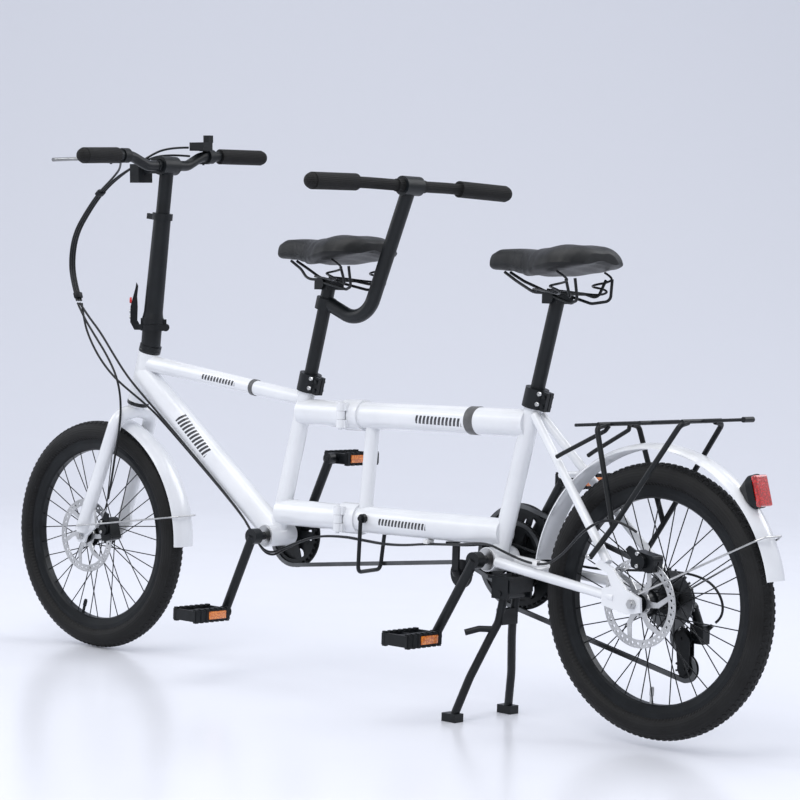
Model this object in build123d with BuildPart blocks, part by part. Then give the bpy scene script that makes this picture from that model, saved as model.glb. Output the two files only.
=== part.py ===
from build123d import *
import os
from math import asin, atan2, cos, degrees, pi, radians, sin, sqrt, tan

os.makedirs("parts", exist_ok=True)

# A folding tandem bicycle on its centre stand. Millimetres and degrees.
# +X points from the front wheel to the rear wheel, +Y to the rider's right, +Z up.
# The origin is on the floor, half-way along the bicycle.

# Driving dimensions
wheelbase = 1536.5
tyre_diameter, tyre_width = 500.0, 49.0
bead_radius = 203.0
rear_lift = 15.8            # the stand holds the rear tyre this far off the floor
rear_x = 755.0
front_x = rear_x - wheelbase
tyre_radius = tyre_diameter / 2
front_axle = Vector(front_x, 0, tyre_radius)
rear_axle = Vector(rear_x, 0, tyre_radius + rear_lift)
front_bottom = Vector(-224, 0, 298)      # centres of the two bottom brackets
rear_bottom = Vector(377, 0, 306.7)
main_tube = 26.5                         # radius of the two long tubes
seat_angle = 75.9
head_angle = 73.5
rest_steer = 2.8                         # the front wheel stands slightly turned to the left
rest_bar_turn, rest_bar_roll = 2.5, 1.6  # the handlebar lies slightly askew in its clamp
head_top = Vector(-634.5, 0, 657)
head_length = 113.0
fold_x, fold_y = -17.0, -36.0            # upright line of both fold hinges' pins
crank_length = 170.0
chain_y = 48.0                           # line of the timing chain
drive_y = 59.0                           # line of the drive chain
tooth_pitch = 12.7
front_hub_half, rear_hub_half = 50.0, 67.5
gap = 0.3                                # between curved faces of different bodies

steer_dir = Vector(cos(radians(head_angle)), 0, sin(radians(head_angle)))
steer_axis = Axis(head_top, steer_dir)
seat_dir = Vector(cos(radians(seat_angle)), 0, sin(radians(seat_angle)))
floor_up = Vector(0, 0, 1)


# Helpers -------------------------------------------------------------------

def save(builder, node, steered=False, bar_roll=None):
    """Label a finished piece and write it. Pieces on the bar lie slightly askew in its clamp,
    and steered pieces turn with the fork."""
    piece = builder.part
    if bar_roll is not None:
        piece = piece.rotate(Axis(bar_centre, stem_dir), rest_bar_turn)
        piece = piece.rotate(Axis(bar_centre, (1, 0, 0)), bar_roll)
    if steered:
        piece = piece.rotate(steer_axis, rest_steer)
    piece.label = node
    export_step(piece, f"parts/{node}.step")


def rod(start, end, radius, mode=Mode.ADD):
    """A round bar between two points."""
    start = Vector(*start)
    line = Vector(*end) - start
    with Locations(Plane(start, z_dir=line)):
        Cylinder(radius, line.length, align=(Align.CENTER, Align.CENTER, Align.MIN), mode=mode)


def taper(start, end, start_radius, end_radius):
    """A round bar that narrows from one end to the other."""
    start = Vector(*start)
    line = Vector(*end) - start
    with Locations(Plane(start, z_dir=line)):
        Cone(start_radius, end_radius, line.length, align=(Align.CENTER, Align.CENTER, Align.MIN))


def disc(centre, radius, half_width, mode=Mode.ADD):
    """A disc whose axis lies across the bicycle."""
    rod(centre - Vector(0, half_width, 0), centre + Vector(0, half_width, 0), radius, mode)


def ball(centre, radius):
    with Locations(centre):
        Sphere(radius)


def bent(points, radius, bends):
    """A round bar along straight runs joined by arcs; bends is one radius or a list."""
    corners = bends if isinstance(bends, list) else [bends] * (len(points) - 2)
    with BuildLine() as path:
        FilletPolyline(*points, radius=corners)
    route = path.wires()[0]
    with BuildSketch(Plane(route @ 0, z_dir=route % 0)) as section:
        Circle(radius)
    sweep(section.sketch, path=route)
    return route


def cord(points, radius):
    """A flexible cable: each arc is as large as its two runs allow."""
    corners = []
    for before, here, after in zip(points, points[1:], points[2:]):
        first, second = Vector(*here) - Vector(*before), Vector(*after) - Vector(*here)
        turn = radians(first.get_angle(second))
        corners.append(0.45 * min(first.length, second.length) / tan(turn / 2))
    route = bent(points, radius, corners)
    print("cable", round(route.length), "mm, arcs", [round(value) for value in corners])
    return route


def along(start, direction, distance):
    return Vector(*start) + direction * distance


def on_seat(bottom, height):
    """The point of a seat tube's centre line at a height above the floor."""
    return along(bottom, seat_dir, (height - bottom.Z) / seat_dir.Z)


def on_steer(height):
    return along(head_top, steer_dir, (height - head_top.Z) / steer_dir.Z)


def polar(centre, radius, angle, y=0.0):
    """A point on a circle in a lengthwise upright plane, with 0 degrees towards the rear."""
    turn = radians(angle)
    return Vector(centre.X + radius * cos(turn), y, centre.Z + radius * sin(turn))


def side_plane(centre, y):
    """Sketch plane facing the rider's left, whose sketch X runs rearwards."""
    return Plane((centre.X, y, centre.Z), x_dir=(1, 0, 0), z_dir=(0, -1, 0))


# Frames --------------------------------------------------------------------

def upper_line(x):
    """Centre line of the upper long tube."""
    return Vector(x, 0, 556.2 + 0.0227 * (x + 17))


def lower_line(x):
    """Centre line of the lower long tube."""
    return Vector(x, 0, 350.0 + 0.017 * (x + 17))


casting_radius = 31.0
front_casting, rear_casting = 15.0, 34.0
knuckle_radius, knuckle_height = 9.0, 50.0
pin_radius = 4.0


def fold_casting(line, side):
    """Half of a fold joint: side -1 is ahead of the joint plane, 1 behind it."""
    length = front_casting if side < 0 else rear_casting
    near = line(fold_x + side * gap / 2)
    rod(near, line(fold_x + side * length), casting_radius)


def fold_knuckles(line, front):
    """The front half carries the middle knuckle, the rear half the two outer ones and the pin."""
    centre = line(fold_x)
    third = knuckle_height / 3
    levels = [0] if front else [-third, third]
    half = third / 2 - gap
    for level in levels:
        middle = Vector(fold_x, fold_y, centre.Z + level)
        rod(middle - floor_up * half, middle + floor_up * half, knuckle_radius)
    toward = -1 if front else 1
    for level in levels:
        with Locations((fold_x + toward * (gap / 2 + 6), fold_y + 5, centre.Z + level)):
            Box(12, 10, 2 * half)


def fold_relief(line, front):
    """Cut the other half's knuckles' room and the pin's hole out of this half."""
    centre = line(fold_x)
    third = knuckle_height / 3
    levels = [-third, third] if front else [0]
    half = third / 2 + gap
    for level in levels:
        middle = Vector(fold_x, fold_y, centre.Z + level)
        rod(middle - floor_up * half, middle + floor_up * half, knuckle_radius + 1, Mode.SUBTRACT)
    if front:
        rod((fold_x, fold_y, centre.Z - 30), (fold_x, fold_y, centre.Z + 30),
            pin_radius + 0.05, Mode.SUBTRACT)


latch_drop = 6.0                         # the lower latch sits a little lower, clear of the chain


def latch_ears(line, lower):
    """Two ears on the front half that hold the latch's pin."""
    for side in (-1, 1):
        height = line(fold_x).Z - lower + side * 12.2
        with Locations((fold_x - 9, 32, height)):
            Box(11, 24, 4)
    middle = Vector(fold_x - 9, 40, line(fold_x).Z - lower)
    rod(middle - floor_up * 20, middle + floor_up * 20, 3.05, Mode.SUBTRACT)


with BuildPart() as front_frame:
    rod(head_top, along(head_top, steer_dir, -head_length), 23)
    taper(on_steer(633), on_seat(front_bottom, 580), 18, 14.5)
    rod(on_steer(606), front_bottom, 27)
    rod(front_bottom, on_seat(front_bottom, 597), 17.5)
    disc(front_bottom, 23, 35)
    rod(on_seat(front_bottom, 555), upper_line(fold_x - front_casting), main_tube)
    rod(lower_line(-212), lower_line(fold_x - front_casting), main_tube)
    for line in (upper_line, lower_line):
        fold_casting(line, -1)
        fold_knuckles(line, True)
        fold_relief(line, True)
        latch_ears(line, 0 if line is upper_line else latch_drop)
    with Locations(Plane(head_top, z_dir=steer_dir)):
        Cylinder(15, 2 * head_length + 60, mode=Mode.SUBTRACT)
    disc(front_bottom, 10, 60, Mode.SUBTRACT)
    rod(on_seat(front_bottom, 330), on_seat(front_bottom, 640), 14.2, Mode.SUBTRACT)
save(front_frame, "front_frame")

with BuildPart() as rear_frame:
    rod(upper_line(fold_x + rear_casting), on_seat(rear_bottom, 566), main_tube)
    rod(lower_line(fold_x + rear_casting), lower_line(391), main_tube)
    rod((25, 0, 369), (38, 0, 540), 14)
    rod(rear_bottom, on_seat(rear_bottom, 604), 17.5)
    disc(rear_bottom, 23, 35)
    for side in (-1, 1):
        rod((462, side * 10, 583), (692, side * 66, 333), 8.5)
        taper((380, side * 25.5, 305), (712, side * 68, 272), 10.5, 8.5)
        with BuildSketch(side_plane(rear_axle, -73.5 if side < 0 else 67.5)) as plate:
            with BuildLine():
                Polyline((-75, 72), (-48, 60), (-16, 24), (16, 12), (18, -14), (-14, -20), (-70, -8),
                         (-70, 22), (-48, 26), (-60, 50), (-90, 60), close=True)
            make_face()
        extrude(plate.sketch, amount=-6)
    rod((470, -33, 293), (470, 33, 293), 7)
    rod((545, -29, 478), (545, 29, 478), 6)
    for line in (upper_line, lower_line):
        fold_casting(line, 1)
        fold_knuckles(line, False)
        fold_relief(line, False)
        middle = line(fold_x).Z
        rod((fold_x, fold_y, middle - 29), (fold_x, fold_y, middle + 29), pin_radius)
    disc(rear_bottom, 10, 60, Mode.SUBTRACT)
    rod(on_seat(rear_bottom, 330), on_seat(rear_bottom, 640), 14.2, Mode.SUBTRACT)
    disc(rear_axle, 5.2, 90, Mode.SUBTRACT)
save(rear_frame, "rear_frame")


# Seat clamps ---------------------------------------------------------------

def seat_clamp(bottom):
    """Split collar on the seat tube's mouth, with its two bolts behind."""
    centre = on_seat(bottom, 615)
    mouth = Plane(centre, x_dir=Vector(0, 1, 0), z_dir=seat_dir)
    with BuildPart() as clamp:
        with Locations(mouth):
            Cylinder(22.5, 37)
            Cylinder(17.6, 37, mode=Mode.SUBTRACT)
        with Locations(mouth.offset(11)):
            Cylinder(21, 15)
            Cylinder(13.9, 15, mode=Mode.SUBTRACT)
        with Locations(mouth * Location((0, -27, 0))):
            Box(19, 14, 36)
            Box(2, 20, 38, mode=Mode.SUBTRACT)
        for level in (-9, 9):
            with Locations(mouth * Location((0, -28, level), (0, 90, 0))):
                Cylinder(4, 26)
    return clamp


front_seat_clamp = seat_clamp(front_bottom)
save(front_seat_clamp, "front_seat_clamp")
rear_seat_clamp = seat_clamp(rear_bottom)
save(rear_seat_clamp, "rear_seat_clamp")


# Fold latches --------------------------------------------------------------

latch_x, latch_y, latch_half = fold_x - 9, 40.0, 9.0
latch_shape = [(-7, 37), (-7, 43), (0, 47), (66, 43), (92, 48), (92, 43), (68, 37.5), (4, 33.8), (-4, 33.8)]
for node, line, lower in (("upper_latch", upper_line, 0), ("lower_latch", lower_line, latch_drop)):
    height = line(latch_x).Z - lower
    with BuildPart() as latch:
        with BuildSketch(Plane.XY.offset(height - latch_half)):
            with BuildLine():
                Polyline(*[(latch_x - ahead, y) for ahead, y in latch_shape], close=True)
            make_face()
        extrude(amount=2 * latch_half)
        with Locations((latch_x, latch_y, height)):
            Cylinder(3, 30)
    save(latch, node)


# Wheels --------------------------------------------------------------------

spokes = 36


def wheel(name, centre, steered, flanges, disc_y, wide):
    """Tyre, rim, spoked hub and brake disc round one axle."""
    turning = Axis(centre, (0, 1, 0))
    mid = tyre_radius - tyre_width / 2
    with BuildPart() as tyre:
        with BuildSketch(Plane(centre)) as half:
            with Locations((mid, 0)):
                Circle(tyre_width / 2)
            with Locations((bead_radius + 4, 0)):
                Rectangle(8, 21)
            with Locations((mid + 2, 0)):
                Circle(tyre_width / 2 - 7.5, mode=Mode.SUBTRACT)
            with Locations((bead_radius - 30, 0)):
                Rectangle(60, 60, mode=Mode.SUBTRACT)
            for side in (-1, 1):
                with Locations((bead_radius + 3.1, side * 13)):
                    Rectangle(6.6, 5, mode=Mode.SUBTRACT)
        revolve(half.sketch, turning)
    save(tyre, f"{name}_tyre", steered)

    with BuildPart() as rim:
        with BuildSketch(Plane(centre)) as half:
            with BuildLine():
                Polyline((185, -7), (188, -11), (200, -14), (209, -14), (209, -10.8), (202.9, -10.8),
                         (202.9, 10.8), (209, 10.8), (209, 14), (200, 14), (188, 11), (185, 7),
                         close=True)
            make_face()
            with Locations((194.5, 0)):
                Rectangle(10, 18, mode=Mode.SUBTRACT)
        revolve(half.sketch, turning)
    save(rim, f"{name}_rim", steered)

    with BuildPart() as hub:
        disc(centre, 15, flanges)
        for side in (-1, 1):
            disc(centre + Vector(0, side * flanges, 0), 25, 1.6)
        disc(centre, 11, wide)
        disc(centre + Vector(0, (disc_y - flanges) / 2, 0), 21, (-disc_y - flanges) / 2 - 0.9)
        for number in range(spokes):
            side = -1 if number % 2 else 1
            lean = 52 if number % 4 < 2 else -52
            rim_angle = number * 360 / spokes
            start = polar(centre, 22, rim_angle + lean, centre.Y + side * flanges)
            end = polar(centre, 184.6, rim_angle, centre.Y + side * 3)
            rod(start, end, 1.1)
        disc(centre, 5.05, wide + 5, Mode.SUBTRACT)
    save(hub, f"{name}_hub", steered)

    with BuildPart() as brake_disc:
        with BuildSketch(side_plane(centre, disc_y + 0.9)) as face:
            Circle(80)
            Circle(65, mode=Mode.SUBTRACT)
            with PolarLocations(71.5, 36):
                Circle(2.6, mode=Mode.SUBTRACT)
            with PolarLocations(76.5, 36, start_angle=5):
                Circle(1.6, mode=Mode.SUBTRACT)
            for arm in range(6):
                with BuildLine(Plane.XY.rotated((0, 0, arm * 60))):
                    Polyline((20, -6), (44, -4), (67, 12), (67, 22), (40, 5), (20, 6), close=True)
                make_face()
            Circle(24)
            Circle(17, mode=Mode.SUBTRACT)
        extrude(face.sketch, amount=1.8)
        for bolt in range(6):
            disc(polar(centre, 20.5, bolt * 60 + 30, disc_y - 1.4), 2.6, 1.4)
    save(brake_disc, f"{name}_rotor", steered)


wheel("front", front_axle, True, 26, -40, 44)
wheel("rear", rear_axle, False, 27, -53, 62)


def axle(name, centre, half, steered):
    """Threaded axle with a nut and washer outside each dropout."""
    with BuildPart() as shaft:
        disc(centre, 5, half + 16)
        for side in (-1, 1):
            with BuildSketch(side_plane(centre, side * (half + 10) + 4)) as nut:
                RegularPolygon(8.6, 6)
            extrude(nut.sketch, amount=8)
    save(shaft, f"{name}_axle", steered)


axle("front", front_axle, front_hub_half, True)
axle("rear", rear_axle, rear_hub_half, False)


# Fork and front end ---------------------------------------------------------

crown = on_steer(528)
fork_foot = front_axle + Vector(6, 0, 12)
with BuildPart() as fork:
    rod(along(head_top, steer_dir, -head_length - 11), along(head_top, steer_dir, -head_length - 1), 21)
    rod(crown, on_steer(650), 14.5)
    for side in (-1, 1):
        bent([crown, crown + Vector(-4, side * 50, -8), fork_foot + Vector(0, side * 60, 0)], 15, 30)
        with BuildSketch(side_plane(front_axle, -56 if side < 0 else 50)) as plate:
            with BuildLine():
                Polyline((-12, -14), (10, -14), (16, 0), (44, 22), (40, 60), (8, 36), (-12, 12), close=True)
            make_face()
        extrude(plate.sketch, amount=-6)
    disc(front_axle, 5.2, 90, Mode.SUBTRACT)
save(fork, "fork", True)

stem_foot = on_steer(721)
stem_dir = Vector(sin(radians(6.5)), 0, cos(radians(6.5)))
hinge_height = 716.0
fold_dir = Vector(1, -1, 0).normalized()              # the stem's hinge pin lies at 45 degrees
hinge_side = Vector(1, 1, 0).normalized()              # towards the pin, behind and to the right
hinge_centre = Vector(-627.5, 0, hinge_height)
stem_pin = hinge_centre + hinge_side * 29 + floor_up * (-6)
latch_side = -hinge_side
latch_pin = hinge_centre + latch_side * 32 - floor_up * 6
with BuildPart() as stem_base:
    rod(along(head_top, steer_dir, 1), along(head_top, steer_dir, 15), 23.5)
    rod(along(head_top, steer_dir, 12), hinge_centre - floor_up * 8, 21)
    with Locations(Plane(hinge_centre - floor_up * 7, z_dir=floor_up)):
        Cylinder(25, 13)
    for offset in (-13, 13):
        rod(stem_pin + fold_dir * (offset - 5), stem_pin + fold_dir * (offset + 5), 8)
        with Locations(Plane(stem_pin - hinge_side * 6 + fold_dir * offset, x_dir=hinge_side, z_dir=floor_up)):
            Box(14, 10, 12)
    rod(stem_pin - fold_dir * 7.6, stem_pin + fold_dir * 7.6, 8.8, Mode.SUBTRACT)
    for offset in (-10.4, 10.4):
        with Locations(Plane(latch_pin + hinge_side * 5 + fold_dir * offset, x_dir=hinge_side, z_dir=floor_up)):
            Box(20, 4, 12)
    with Locations(Plane(hinge_centre, z_dir=floor_up)):
        Cylinder(60, 30, align=(Align.CENTER, Align.CENTER, Align.MIN), mode=Mode.SUBTRACT)
    rod(latch_pin - fold_dir * 14, latch_pin + fold_dir * 14, 3.05, Mode.SUBTRACT)
    rod(stem_pin - fold_dir * 18, stem_pin + fold_dir * 18, 3)
save(stem_base, "stem_base", True)

collar_place = along(hinge_centre, stem_dir, 226)
bar_centre = along(hinge_centre, stem_dir, 342)
with BuildPart() as stem_post:
    with Locations(Plane(hinge_centre + floor_up * (gap + 6.5), z_dir=floor_up)):
        Cylinder(25, 13)
    taper(along(hinge_centre, stem_dir, 8), along(hinge_centre, stem_dir, 26), 24, 20.5)
    taper(along(hinge_centre, stem_dir, 26), collar_place, 20.5, 18.5)
    rod(collar_place, along(collar_place, stem_dir, 14), 22)
    with Locations(Plane(along(collar_place, stem_dir, 7) + Vector(-26, -6, 0), z_dir=stem_dir)):
        Box(24, 8, 12)
    rod(stem_pin - fold_dir * 7, stem_pin + fold_dir * 7, 8)
    with Locations(Plane(stem_pin - hinge_side * 5 + floor_up * 12, x_dir=hinge_side, z_dir=floor_up)):
        Box(13, 14, 10.8)
    rod(stem_pin - fold_dir * 30, stem_pin + fold_dir * 30, 3.05, Mode.SUBTRACT)
    rod(along(hinge_centre, stem_dir, 16), along(collar_place, stem_dir, 20), 15.05, Mode.SUBTRACT)
save(stem_post, "stem_post", True)

with BuildPart() as stem_latch:
    with BuildSketch(Plane(latch_pin + fold_dir * 8, x_dir=latch_side, z_dir=-fold_dir)) as lever:
        with BuildLine():
            Polyline((-3, -5), (6, -6), (15, 10), (15, 44), (5, 84), (3, 96), (-1, 88), (1, 66), (-0.5, 44),
                     (0, 14), (-4, 8), close=True)
        make_face()
    extrude(lever.sketch, amount=16)
    rod(latch_pin - fold_dir * 12, latch_pin + fold_dir * 12, 3)
save(stem_latch, "stem_latch", True)

with BuildPart() as bar_post:
    rod(along(hinge_centre, stem_dir, 100), along(bar_centre, stem_dir, -14), 14.9)
    disc(bar_centre, 20, 24)
    with Locations(Plane(bar_centre + Vector(-16, 0, 0), z_dir=floor_up)):
        Box(20, 46, 34)
    disc(bar_centre, 13.4, 30, Mode.SUBTRACT)
save(bar_post, "bar_post", True, 0)


def bar_point(x, y, z):
    return bar_centre + Vector(x, y, z)


grip_radius, bar_radius = 16.5, 11.1
with BuildPart() as handlebar:
    disc(bar_centre, 12.6, 34)
    for side in (-1, 1):
        bent([bar_point(0, side * 26, 0), bar_point(0, side * 62, 0), bar_point(-2, side * 108, 20),
              bar_point(4, side * 150, 21), bar_point(24, side * 273, 19)], bar_radius, [40, 60, 80])
save(handlebar, "handlebar", True, rest_bar_roll)

with BuildPart() as bar_grips:
    for side in (-1, 1):
        bend, outer = bar_point(4, side * 150, 21), bar_point(24, side * 273, 19)
        inner = bend + (outer - bend) * 0.08
        rod(inner, outer, grip_radius)
        ball(outer, grip_radius - 1)
        rod(inner, outer + (outer - inner) * 0.01, bar_radius + 0.05, Mode.SUBTRACT)
save(bar_grips, "bar_grips", True, rest_bar_roll)

lever_pivots = {}
with BuildPart() as bar_controls:
    for side in (-1, 1):
        spot = bar_point(1, side * 131, 20.5)
        disc(spot, 15.5, 9)
        perch = spot + Vector(-22, side * 2, -6)
        with Locations(Plane(spot + Vector(-14, 0, -4))):
            Box(22, 18, 16)
        with Locations(Plane(perch + Vector(-4, side * 6, 0))):
            Box(20, 22, 20)
        lever_pivots[side] = perch + Vector(-6, side * 10, 0)
        pivot = lever_pivots[side]
        with Locations(Plane(pivot)):
            Box(26, 24, 8.6, mode=Mode.SUBTRACT)
            Cylinder(2.6, 24)
        rod(bar_point(-2, side * 108, 20), bar_point(4, side * 150, 21), bar_radius + 0.3, Mode.SUBTRACT)
    shifter = bar_point(0, 100, 30)
    with Locations(Plane(shifter + Vector(6, 0, 12))):
        Box(40, 30, 18)
    with Locations(Plane(bar_point(0, 116, 41))):
        Box(18, 10, 18)
    with Locations(Plane(shifter + Vector(18, 10, 28))):
        Box(16, 14, 16)
    lamp = bar_point(-66, -12, -16)
    with Locations(Plane(lamp)):
        Box(26, 42, 40)
    rod(lamp, bar_point(-31, -12, -8), 6)
save(bar_controls, "bar_controls", True, rest_bar_roll)

for side, node in ((-1, "left_brake_lever"), (1, "right_brake_lever")):
    pivot = lever_pivots[side]
    with BuildPart() as brake_lever:
        with Locations(Plane(pivot)):
            Cylinder(8, 8)
        bent([pivot + Vector(-3, -side * 4, 0), pivot + Vector(-26, side * 22, 0),
              pivot + Vector(-26, side * 90, -2), pivot + Vector(-18, side * 150, -4)], 4, [12, 120])
        with Locations(Plane(pivot)):
            Cylinder(2.65, 24, mode=Mode.SUBTRACT)
    save(brake_lever, node, True, rest_bar_roll)


# Mudguards ------------------------------------------------------------------

def mudguard(centre, radius, first, last, half_width):
    """Curved strip round a wheel, from one angle to another, open towards the tyre."""
    sag, wall = 9.0, 2.0
    outward = polar(Vector(0, 0, 0), 1, first)
    with BuildSketch(Plane(centre, x_dir=outward, z_dir=outward.cross(Vector(0, 1, 0)))) as strip:
        with BuildLine():
            ThreePointArc((radius - sag, -half_width), (radius, 0), (radius - sag, half_width))
            Line((radius - sag, half_width), (radius - sag - wall, half_width))
            ThreePointArc((radius - sag - wall, half_width), (radius - wall, 0),
                          (radius - sag - wall, -half_width))
            Line((radius - sag - wall, -half_width), (radius - sag, -half_width))
        make_face()
    revolve(strip.sketch, Axis(centre, (0, -1, 0)), revolution_arc=last - first)


with BuildPart() as front_fender:
    mudguard(front_axle, 270, -1, 76, 28)
save(front_fender, "front_fender", True)

rear_guard_centre = rear_axle + Vector(-5, 0, 11)
with BuildPart() as rear_fender:
    mudguard(rear_guard_centre, 273, 11, 172, 26)
save(rear_fender, "rear_fender")


def guard_stay(axle_point, guard_point, foot_y, half_width):
    """Wire from one dropout over the mudguard and back to the other dropout."""
    left = axle_point + Vector(0, -foot_y, 0)
    right = axle_point + Vector(0, foot_y, 0)
    edge = (guard_point - axle_point).normalized()
    over_left = guard_point + Vector(0, -half_width, 0)
    over_right = guard_point + Vector(0, half_width, 0)
    bent([left, over_left - edge * 10, over_left + Vector(0, 10, 0) + edge * 5,
          over_right - Vector(0, 10, 0) + edge * 5, over_right - edge * 10, right], 1.9, [8, 5, 5, 8])


with BuildPart() as front_fender_stays:
    guard_stay(front_axle + Vector(10, 0, 24), polar(front_axle, 271, 13), 79, 34)
save(front_fender_stays, "front_fender_stays", True)

with BuildPart() as rear_fender_stays:
    guard_stay(rear_axle + Vector(16, 0, 20), polar(rear_guard_centre, 274, 27), 78, 34)
save(rear_fender_stays, "rear_fender_stays")

lamp_dir = Vector(cos(radians(16)), 0, sin(radians(16)))
lamp_seat = polar(rear_guard_centre, 272, 46)
with BuildPart() as tail_reflector:
    with BuildSketch(Plane(lamp_seat - lamp_dir * 6, x_dir=(0, 1, 0), z_dir=lamp_dir)) as back:
        RectangleRounded(20, 30, 8)
    with BuildSketch(Plane(lamp_seat + lamp_dir * 16, x_dir=(0, 1, 0), z_dir=lamp_dir)) as front:
        RectangleRounded(42, 60, 20)
    loft([back.sketch.face(), front.sketch.face()])
    extrude(front.sketch, amount=14)
    disc(rear_guard_centre, 273.4, 60, Mode.SUBTRACT)
save(tail_reflector, "tail_reflector")


# Luggage rack ---------------------------------------------------------------

rack_slope = 0.085
rack_half = 58.0


def rack_point(x, y, drop=0.0):
    return Vector(x, y, 571 + rack_slope * (x - 570) - drop)


with BuildPart() as luggage_rack:
    bent([rack_point(939, 12), rack_point(880, 14), rack_point(852, rack_half), rack_point(572, rack_half),
          rack_point(572, -rack_half), rack_point(852, -rack_half), rack_point(880, -14),
          rack_point(939, -12)], 5, [14, 18, 22, 22, 18, 14])
    rod(rack_point(937, -14), rack_point(937, 14), 5)
    rod(rack_point(572, 0), rack_point(937, 0), 3)
    for x in (652, 745, 838):
        rod(rack_point(x, -rack_half), rack_point(x, rack_half), 4)
    for side in (-1, 1):
        rod(rack_point(572, side * 24), rack_point(838, side * 24), 3)
        brace = Vector(706, side * 74, 398)
        bent([rack_point(838, side * 40, 2), rack_point(838, side * 62, 6), brace,
              Vector(662, side * 81, 340)], 5, [10, 60])
        bent([rack_point(652, side * 40, 2), rack_point(652, side * 61, 6), brace], 5, [10])
        bent([rack_point(655, side * 30, 3), rack_point(650, side * 34, 12), Vector(562, side * 44, 520),
              Vector(548, side * 46, 512)], 4, [6, 30])
save(luggage_rack, "luggage_rack")


# Brake calipers -------------------------------------------------------------

def caliper(centre, reach, tilt, disc_y):
    """Mechanical disc caliper astride the disc: body, adjuster, cable arm and two bolts."""
    outward = polar(Vector(0, 0, 0), 1, tilt)
    frame = Plane(polar(centre, reach, tilt, disc_y), x_dir=outward, z_dir=(0, -1, 0))
    with BuildPart() as body:
        with BuildSketch(frame.offset(14)) as outline:
            RectangleRounded(32, 50, 9)
        extrude(outline.sketch, amount=-28)
        with BuildSketch(frame.offset(23)) as knob:
            Circle(12)
        extrude(knob.sketch, amount=-10)
        with BuildSketch(frame.offset(20)) as arm:
            with BuildLine():
                Polyline((-8, -8), (10, -10), (22, 30), (14, 36), (-6, 12), close=True)
            make_face()
        extrude(arm.sketch, amount=-5)
        for level in (-19, 19):
            with Locations(frame * Location((12, level, 0))):
                Cylinder(4, 30)
        with Locations(frame * Location((-14, 0, 0))):
            Box(40, 60, 3.2, mode=Mode.SUBTRACT)
    return body


front_caliper = caliper(front_axle, 76, 15, -40.0)
save(front_caliper, "front_caliper", True)
rear_caliper = caliper(rear_axle, 77, 80, -53.0)
save(rear_caliper, "rear_caliper")


# Cranks and chainrings --------------------------------------------------------

timing_teeth, drive_teeth = 32, 48
front_crank_angle, rear_crank_angle = 248.8, 241.5


def pitch_radius(teeth):
    return tooth_pitch / (2 * sin(pi / teeth))


def chainring(centre, teeth, y, start):
    """Toothed ring with five arms."""
    radius = pitch_radius(teeth)
    with BuildSketch(side_plane(centre, y + 1)) as ring:
        Circle(radius - 3.6)
        for tooth in range(teeth):
            with Locations(Location((0, 0, 0), (0, 0, start + tooth * 360 / teeth))):
                with Locations((radius - 2, 0)):
                    Rectangle(7, 4.2)
        Circle(radius - 12, mode=Mode.SUBTRACT)
        for arm in range(5):
            with Locations(Location((0, 0, 0), (0, 0, arm * 72))):
                with Locations((radius / 2, 0)):
                    Rectangle(radius - 14, 15)
        Circle(22)
    extrude(ring.sketch, amount=2)


def crankset(centre, angle, rings, guard_y):
    """Spindle, both arms, chainrings and the disc that guards them."""
    with BuildPart() as cranks:
        disc(centre, 8, 70)
        for side in (-1, 1):
            direction = angle + (0 if side < 0 else 180)
            boss = Vector(centre.X, side * 58, centre.Z)
            tip = polar(centre, crank_length, direction, side * 84)
            disc(boss + Vector(0, side * 8, 0), 16, 10)
            rod(boss + Vector(0, side * 12, 0), tip, 9.5)
            ball(tip, 9.5)
            disc(tip, 11.5, 8)
            disc(tip, 4.5, 30, Mode.SUBTRACT)
        for teeth, y, start in rings:
            chainring(centre, teeth, y, start)
        disc(Vector(centre.X, (guard_y + rings[0][1]) / 2, centre.Z), 20,
             abs(guard_y - rings[0][1]) / 2 + 2)
        radius = pitch_radius(rings[-1][0]) + 5
        with BuildSketch(side_plane(centre, guard_y + 1)) as guard:
            Circle(radius)
            with PolarLocations(radius * 0.62, 5):
                Circle(radius * 0.16, mode=Mode.SUBTRACT)
        extrude(guard.sketch, amount=2)
    return cranks


front_crankset = crankset(front_bottom, front_crank_angle, [(timing_teeth, chain_y, 0)], chain_y + 6)
save(front_crankset, "front_crankset")
rear_crankset = crankset(rear_bottom, rear_crank_angle,
                         [(timing_teeth, chain_y, 0), (drive_teeth, drive_y, 0)], drive_y + 6)
save(rear_crankset, "rear_crankset")


def pedal(centre, side):
    """Platform pedal on its spindle: two toothed side plates, end plates and a core."""
    near = centre + Vector(0, side * 14, 0)
    middle = centre + Vector(0, side * 64, 0)
    with BuildPart() as body:
        rod(centre - Vector(0, side * 9, 0), middle + Vector(0, side * 44, 0), 4.2)
        rod(near, middle + Vector(0, side * 46, 0), 10)
        for edge in (-1, 1):
            with Locations(Plane(middle + Vector(edge * 29, 0, 0))):
                Box(7, 96, 22)
            for tooth in range(7):
                with Locations(Plane(middle + Vector(edge * 29, (tooth - 3) * 14, 0))):
                    Box(9, 7, 28)
        for end in (-1, 1):
            with Locations(Plane(middle + Vector(0, end * 44, 0))):
                Box(60, 7, 22)
        with Locations(Plane(middle)):
            Box(60, 5, 18)
    return body


crank_tips = {
    "front_left_pedal": (polar(front_bottom, crank_length, front_crank_angle, -84), -1),
    "front_right_pedal": (polar(front_bottom, crank_length, front_crank_angle + 180, 84), 1),
    "rear_left_pedal": (polar(rear_bottom, crank_length, rear_crank_angle, -84), -1),
    "rear_right_pedal": (polar(rear_bottom, crank_length, rear_crank_angle + 180, 84), 1),
}
for node, (tip, side) in crank_tips.items():
    turned_pedal = pedal(tip, side)
    save(turned_pedal, node)


# Gears behind -----------------------------------------------------------------

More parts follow.
